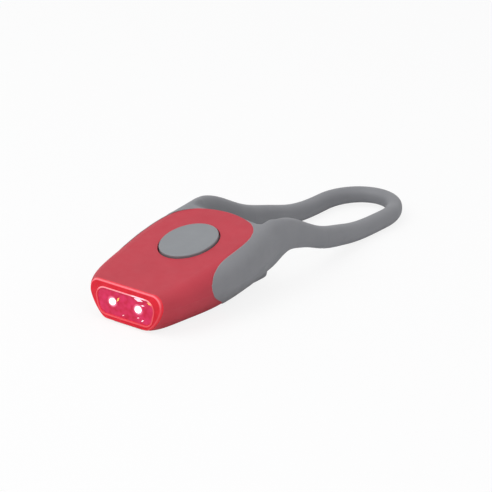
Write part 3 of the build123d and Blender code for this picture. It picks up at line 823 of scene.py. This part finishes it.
def cut_at_strap(work):
    """Ends the mesh where the swept rear of the arms takes over."""
    bmesh.ops.bisect_plane(
        work,
        geom=work.verts[:] + work.edges[:] + work.faces[:],
        plane_co=place(0, strap_cut, 0),
        plane_no=(0, 1, 0),
        clear_outer=True,
    )


cut_away(
    jacket,
    [
        prism("cover_cutter", cover_outline(), "z", -margin, cover_room),
        prism("front_cutter", front_outline(), "x", -body_width, body_width),
        prism("top_cutter", top_outline(), "z", lobe_edge[0][1], cutter_reach),
    ],
)
edit_mesh(jacket, cut_at_strap)
shade(jacket)
jacket.data.materials.clear()
jacket.data.materials.append(silicone)
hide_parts("strap_jacket", "strap_neck_left", "strap_neck_right")
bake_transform(jacket)

# Red skin between the shell's edge and the jacket, beside each lobe's nose: the box that holds it, and
# how far it lies under the body's outside
fill_low = 10.5
fill_high = 19.6
fill_stations = (16.2, 40.0)
fill_inner = 12.0
fill_gap = 0.03


def red_field(x, station, z):
    """The red skin just under the body's outside, within a small box."""
    outer = body_field(x, station, z, -fill_gap, 0.0)
    inner = body_field(x, station, z, -jacket_wall, 0.0)
    return np.maximum(outer, -inner)


for hand in (-1, 1):
    fill_x = sorted((hand * fill_inner, hand * body_width / 2))
    points, faces = surface_net(
        red_field,
        (fill_x[0], fill_stations[0], fill_low),
        (fill_x[1], fill_stations[1], fill_high),
        net_step,
    )
    fill = add_piece("red_edge_right" if hand > 0 else "red_edge_left", points, faces)
    shade(fill)
    fill.data.materials.append(red_matte)
    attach(fill, "housing")

# Rear of the arms and the round loop, as one swept tube: its rings, the stretch over which they turn to
# face along the arm, and the ends tucked into the jacket's
ring_points = 48
loop_station = strap_stations[-1]
arm_rings = 60
loop_rings = 96
slope_step = 0.01
turn_run = 2.0
tuck_depth = 0.6
tuck_inset = 0.15


def ring(middle, direction, tall):
    """Upright elliptical ring of the strap, square to a level direction."""
    dx, dy = direction
    x, y, z = middle
    turn = np.linspace(0, 2 * math.pi, ring_points, endpoint=False)
    power = 2 / arm_squareness
    across = strap_half * np.sign(np.cos(turn)) * np.abs(np.cos(turn)) ** power
    height = tall * np.sign(np.sin(turn)) * np.abs(np.sin(turn)) ** power
    return np.stack([x + across * dy, y - across * dx, z + height], 1)


def arm_ring(station, hand):
    """Ring of one arm at a station, looking back for hand 1 and forward for hand -1."""
    x = hand * float(arm_x(station))
    rise = float(arm_x(station + slope_step) - arm_x(station - slope_step))
    slope = hand * rise / (2 * slope_step)
    size = math.hypot(slope, 1)
    low = float(arm_low(station))
    high = float(arm_high(station))
    share = min(1, max(0, station - strap_cut) / turn_run)
    direction = (hand * slope * share / size, float(hand))
    return ring((x, station, (low + high) / 2), direction, (high - low) / 2)


def tucked_end(hand):
    """Slightly smaller ring just inside the jacket's open end, so that no edge shows at the cut."""
    points = arm_ring(strap_cut - tuck_depth, hand)
    outward = points - points.mean(axis=0)
    return points - tuck_inset * outward / np.linalg.norm(outward, axis=1, keepdims=True)


def loop_ring(turn):
    """Ring of the round end, turn 0 at the right and pi at the left."""
    swing = math.sin(turn)
    reach = overall_length - loop_station - strap_half
    _, spacing_share, low_share, high_share = strap_shares[-1]
    half = half_spacing * spacing_share
    low = low_share + (loop_tip_share[0] - low_share) * swing
    high = high_share + (loop_tip_share[1] - high_share) * swing
    dx = -half * swing
    dy = reach * math.cos(turn)
    size = math.hypot(dx, dy)
    middle = (half * math.cos(turn), loop_station + reach * swing, horn_height * (low + high) / 2)
    return ring(middle, (dx / size, dy / size), horn_height * (high - low) / 2)


arm_stations = np.linspace(strap_cut, loop_station, arm_rings)
rings = [tucked_end(1)]
rings += [arm_ring(station, 1) for station in arm_stations[:-1]]
rings += [loop_ring(turn) for turn in np.linspace(0, math.pi, loop_rings)]
rings += [arm_ring(station, -1) for station in arm_stations[-2::-1]]
rings.append(tucked_end(-1))
loop = add_piece("arms_and_loop", *bridge(rings, close_start=True, close_end=True))
edit_mesh(loop, turn_outward)
shade(loop)
loop.data.materials.append(silicone)
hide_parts("strap_arm_left", "strap_arm_right", "strap_bend_left", "strap_bend_right", "strap_loop")
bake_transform(loop)

# Lens: a clear red rim with a raised bead round the window, the magenta window and two lit lamps
outline_points = 192
corner_points = 16
flank_points = 24
heel_points = 12
window_corner_points = 12
lens_depth = 1.0
rim_face = 0.14
rim_round = 0.45
rim_rings = 7
bead_width = 0.5
bead_rings = 9
window_depth = 0.34
window_top = 9.5
window_bottom = 2.2
window_half = 10.6
window_taper = 1.8
window_corner = 2.6
window_draft = 0.1
pane_inset = 0.08
pane_dish = 0.12
pane_rings = 24
pane_middle = 0.06
lens_sharp_degrees = 60

# Marks: light on the lens's edge and on the bead, with the room's window that shines along the bead's top
edge_light_least = 0.3
edge_light_heights = (7.5, 10.5)
rim_back_light = 0.25
bead_light_least = 0.45
bead_light_rise = 0.95
bead_light_heights = (8.2, 9.4)
bead_inner_light = 0.3
shine_below_top = (0.5, 0.2)
shine_begins = (1.8, 3.2)
shine_ends = (6.2, 7.6)

# Lit lamps behind the window
lamp_half_spacing = 4.55
lamp_height = 6.2
spot_radius = 1.02
spot_stretch = 1.16
spot_lean = 0.16
spot_depth = 0.1
spot_bulge = 0.18
spot_points = 32
spot_rings = 7
glow_radius = 1.7

# Small reflections in the window: middle as (x, z), half length, lean in degrees and tone
glints = (
    (-2.5, 7.3, 0.85, 60, "warm"),
    (8.5, 8.9, 0.85, -20, "warm"),
    (6.2, 7.75, 0.7, 5, "white"),
    (4.7, 9.1, 1.6, -4, "white"),
    (-0.7, 3.15, 0.42, 30, "white"),
    (4.6, 3.8, 0.45, 20, "white"),
    (6.1, 3.3, 0.65, 35, "white"),
)
glint_shape = ((-1, 0), (-0.1, -0.32), (1, -0.05), (0.25, 0.38))
glint_depth = 0.16


def shrink(outline, inset):
    """An outline drawn in along its own normals."""
    ahead = np.roll(outline, -1, 0) - np.roll(outline, 1, 0)
    ahead /= np.linalg.norm(ahead, axis=1, keepdims=True)
    return outline + inset * np.stack([ahead[:, 1], -ahead[:, 0]], 1)


def mirrored(right_side, bottom):
    """Closed outline from its right half, which starts at the middle of the top."""
    left_side = [(-x, z) for x, z in right_side[:0:-1]]
    return resample(right_side + [(0, bottom)] + left_side, outline_points)


def body_outline(station):
    """Cross-section of the body at a station, clockwise from the middle of its top."""
    half = float(half_width(station))
    foot = float(half_foot(station))
    top = top_height(station)
    floor = underside_height
    corner = float(corner_radius(station))
    shoulder = float(shoulder_share(station)) * (top - floor)
    run = bottom_radius * math.sin(math.pi / 4)
    half_run = bottom_radius * math.sin(math.pi / 8)
    half_lift = bottom_radius * (1 - math.cos(math.pi / 8))
    turn = corner * (1 - math.cos(math.pi / 4))
    heel = (foot, floor + bottom_radius * (1 - math.cos(math.pi / 4)))
    under_heel = (foot - run + half_run, floor + half_lift)
    flare = (foot + flare_width_share * (half - foot), floor + flare_height_share * shoulder)
    round_top = ((half - corner, top), (half - turn, top - turn), (half, top - corner))
    right_side = [(0, top)]
    right_side += arc_points(*round_top, corner_points)
    right_side += arc_points((half, floor + shoulder), flare, heel, flank_points)
    right_side += arc_points(heel, under_heel, (foot - run, floor), heel_points)[1:]
    return mirrored(right_side, floor)


def window_outline():
    """Rounded window, wider at its top, clockwise from the middle of its top."""
    lean = math.atan2(window_taper, window_top - window_bottom)
    top_reach = window_corner / math.tan((math.pi / 2 - lean) / 2)
    low_reach = window_corner / math.tan((math.pi / 2 + lean) / 2)
    corners = (
        (window_half - top_reach, window_top - window_corner, math.pi / 2, -lean),
        (window_half - window_taper - low_reach, window_bottom + window_corner, -lean, -math.pi / 2),
    )
    right_side = [(0, window_top)]
    for x, z, first, last in corners:
        for turn in np.linspace(first, last, window_corner_points):
            right_side.append((x + window_corner * math.cos(turn), z + window_corner * math.sin(turn)))
    return mirrored(right_side, window_bottom)


def set_marks(piece, values):
    """Stores one number for each point, for the material to read."""
    mark = piece.data.attributes.new("mark", "FLOAT", "POINT")
    mark.data.foreach_set("value", np.array(values, np.float32))


def loop_at(outline, station):
    """An outline's points at a station."""
    return np.stack([outline[:, 0], np.full(len(outline), station), outline[:, 1]], 1)


def edge_light(points, strength):
    """Light on the lens's edge, paler towards the top."""
    rise = ramp(points[:, 2], *edge_light_heights)
    return strength * (edge_light_least + (1 - edge_light_least) * rise)


def bead_light(points, strength):
    """Light on the bead, brighter along its top, where a window of the room shines in it."""
    x = points[:, 0]
    z = points[:, 2]
    near_top = ramp(z, window_top - shine_below_top[0], window_top - shine_below_top[1])
    shine = near_top * (ramp(x, *shine_begins) - ramp(x, *shine_ends))
    return strength * (bead_light_least + bead_light_rise * ramp(z, *bead_light_heights) + shine)


lens_outline = body_outline(lens_depth / 2)
window = window_outline()
rim_loops = []
rim_marks = []


def add_rim_loop(outline, station, light, strength):
    """Adds a loop to the rim, with the light that its points show."""
    points = loop_at(outline, station)
    rim_loops.append(points)
    rim_marks.append(light(points, strength))


add_rim_loop(body_outline(lens_depth), lens_depth, edge_light, 0.0)
add_rim_loop(lens_outline, rim_face + rim_round, edge_light, rim_back_light)
for turn in np.linspace(0, math.pi / 2, rim_rings)[1:]:
    rounded = shrink(lens_outline, rim_round * (1 - math.cos(turn)))
    add_rim_loop(rounded, rim_face + rim_round * (1 - math.sin(turn)), edge_light, math.sin(2 * turn))
add_rim_loop(shrink(window, -bead_width), rim_face, bead_light, 0.0)
for turn in np.linspace(0, math.pi, bead_rings)[1:-1]:
    out = bead_width * (1 + math.cos(turn)) / 2
    add_rim_loop(shrink(window, -out), rim_face * (1 - math.sin(turn)), bead_light, math.sin(turn))
add_rim_loop(window, rim_face, bead_light, bead_inner_light)
add_rim_loop(shrink(window, window_draft), window_depth, bead_light, 0.0)
rim = add_piece("lens_rim", *bridge(rim_loops))
set_marks(rim, np.concatenate(rim_marks))

# Window, slightly dished, with the lamps' glow in it
pane_outline = shrink(window, pane_inset)
pane_centre = np.array([0, (window_top + window_bottom) / 2])
pane_loops = []
for share in np.linspace(1, pane_middle, pane_rings):
    flat = pane_centre + (pane_outline - pane_centre) * share
    pane_loops.append(loop_at(flat, window_depth - pane_dish * (1 - share**2)))
pane_points, pane_faces = bridge(pane_loops, close_end=True)
pane = add_piece("lens_window", pane_points, pane_faces)
lamp_places = [(-lamp_half_spacing, lamp_height), (lamp_half_spacing, lamp_height)]
near_lamp = np.min([np.hypot(pane_points[:, 0] - x, pane_points[:, 2] - z) for x, z in lamp_places], 0)
# Painted glow of the lamps on the window, fading out from the spot to the glow radius
set_marks(pane, np.clip(1 - (near_lamp - spot_radius) / (glow_radius - spot_radius), 0, 1))


def lamp_spot(name, x, z):
    """Low leaning dome that shows one lit lamp."""
    points = [(x, window_depth - spot_depth - spot_bulge, z)]
    faces = []
    for row, rise in enumerate(np.linspace(0, math.pi / 2, spot_rings)[1:]):
        for i in range(spot_points):
            turn = 2 * math.pi * i / spot_points
            radius = spot_radius * math.sin(rise)
            across = radius * math.cos(turn)
            points.append((
                x + spot_stretch * across,
                window_depth - spot_depth - spot_bulge * math.cos(rise),
                z + radius * math.sin(turn) + spot_lean * across,
            ))
            j = (i + 1) % spot_points
            base = 1 + row * spot_points
            before = base - spot_points
            faces.append((before + i, before + j, base + j, base + i) if row else (0, 1 + i, 1 + j))
    return add_piece(name, points, faces)


def glint_sheet(tone):
    """All the small reflections of one tone."""
    points = []
    station = window_depth - glint_depth
    for x, z, size, lean, own_tone in glints:
        if own_tone != tone:
            continue
        c = math.cos(math.radians(lean))
        s = math.sin(math.radians(lean))
        for u, v in glint_shape:
            points.append((x + size * (u * c - v * s), station, z + size * (u * s + v * c)))
    faces = np.arange(len(points)).reshape(-1, len(glint_shape))
    return add_piece(f"lens_glints_{tone}", points, faces)


lit_spots = []
for side, lamp_place in zip(("left", "right"), lamp_places):
    lit_spots.append(lamp_spot(f"lamp_spot_{side}", *lamp_place))
for piece, material in ((rim, clear_red), (pane, magenta)):
    edit_mesh(piece, turn_forward)
    shade(piece, lens_sharp_degrees)
    piece.data.materials.append(material)
    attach(piece, "housing")
for piece in lit_spots:
    edit_mesh(piece, turn_forward)
    shade(piece, lens_sharp_degrees)
    piece.data.materials.append(lamp_white)
    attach(piece, "housing")
for tone, material in (("warm", glint_warm), ("white", glint_white)):
    piece = glint_sheet(tone)
    edit_mesh(piece, turn_forward)
    piece.data.materials.append(material)
    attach(piece, "housing")
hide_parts("lens")

# Floor: half its width in metres, its matte look, and the share of even white that keeps shadows faint
floor_half = 3.0
floor_tone = (0.85, 0.85, 0.86, 1)
floor_roughness = 0.9
floor_even_share = 0.85


def floor_look():
    """Matte floor that the camera sees mostly as even white."""
    material, tree, shader = new_material("pale_floor")
    shader.inputs["Base Color"].default_value = floor_tone
    shader.inputs["Roughness"].default_value = floor_roughness
    rays = tree.nodes.new("ShaderNodeLightPath")
    even = tree.nodes.new("ShaderNodeEmission")
    even.inputs["Strength"].default_value = 1.0
    seen = calculate(tree, "MULTIPLY", rays.outputs["Is Camera Ray"], floor_even_share)
    mix_shaders(tree, seen, shader, even, "Material Output")
    return material


floor_corners = [(x * floor_half, y * floor_half, 0) for x, y in ((-1, -1), (1, -1), (1, 1), (-1, 1))]
floor_mesh = bpy.data.meshes.new("floor")
floor_mesh.from_pydata(floor_corners, [], [(0, 1, 2, 3)])
floor_mesh.materials.append(floor_look())
floor = bpy.data.objects.new("floor", floor_mesh)
bpy.context.scene.collection.objects.link(floor)

# Light: an even white room, dimmer as a light than where it is seen, and two large soft lamps
room_light = 0.55
scene = bpy.context.scene
scene.view_settings.view_transform = "Standard"
scene.world = bpy.data.worlds.new("studio")
scene.world.use_nodes = True


def white_room(tree):
    """White all round: full to the camera, in reflections and through clear pieces, else dimmer."""
    light = tree.nodes["Background"]
    seen = tree.nodes.new("ShaderNodeBackground")
    for shader, strength in ((light, room_light), (seen, 1.0)):
        shader.inputs["Color"].default_value = (1, 1, 1, 1)
        shader.inputs["Strength"].default_value = strength
    rays = tree.nodes.new("ShaderNodeLightPath")
    direct = calculate(tree, "MAXIMUM", rays.outputs["Is Camera Ray"], rays.outputs["Is Glossy Ray"])
    direct = calculate(tree, "MAXIMUM", direct, rays.outputs["Is Transmission Ray"])
    mix_shaders(tree, direct, light, seen, "World Output")


def towards(azimuth, elevation):
    """Direction from the object towards a lamp or the camera, from two angles in degrees."""
    a = math.radians(azimuth)
    e = math.radians(elevation)
    return Vector((math.sin(a) * math.cos(e), -math.cos(a) * math.cos(e), math.sin(e)))


def put_in_scene(name, data, location, back):
    """Adds a lamp or camera that looks against a direction."""
    thing = bpy.data.objects.new(name, data)
    thing.location = location
    thing.rotation_euler = back.to_track_quat("Z", "Y").to_euler()
    scene.collection.objects.link(thing)
    return thing


def soft_lamp(name, azimuth, elevation, distance, size, power):
    """Large square lamp round the object, aimed at it."""
    back = towards(azimuth, elevation)
    data = bpy.data.lights.new(name, "AREA")
    data.size = size
    data.energy = power
    put_in_scene(name, data, back * distance, back)


white_room(scene.world.node_tree)
soft_lamp("key", azimuth=-30, elevation=62, distance=0.8, size=0.7, power=3.4)
soft_lamp("fill", azimuth=70, elevation=40, distance=0.9, size=0.7, power=1.2)

# Camera at the photograph's angle: degrees, millimetres, and how far its picture is shifted right and up
view_azimuth = 38.75
view_elevation = 21.76
view_distance = 961.8
view_point = (0, 52.08, 8.33)
view_shift = (0.157, -0.868)
view_lens = 250.7
view_sensor = 36.0

view_back = towards(view_azimuth, view_elevation)
view_right = towards(view_azimuth + 90, 0)
view_up = view_back.cross(view_right)
aim = place(*view_point) + (view_shift[0] * view_right + view_shift[1] * view_up) * METRE
camera_spot = aim + view_back * view_distance * METRE
camera_data = bpy.data.cameras.new("camera")
camera_data.lens = view_lens
camera_data.sensor_width = view_sensor
scene.camera = put_in_scene("camera", camera_data, camera_spot, view_back)
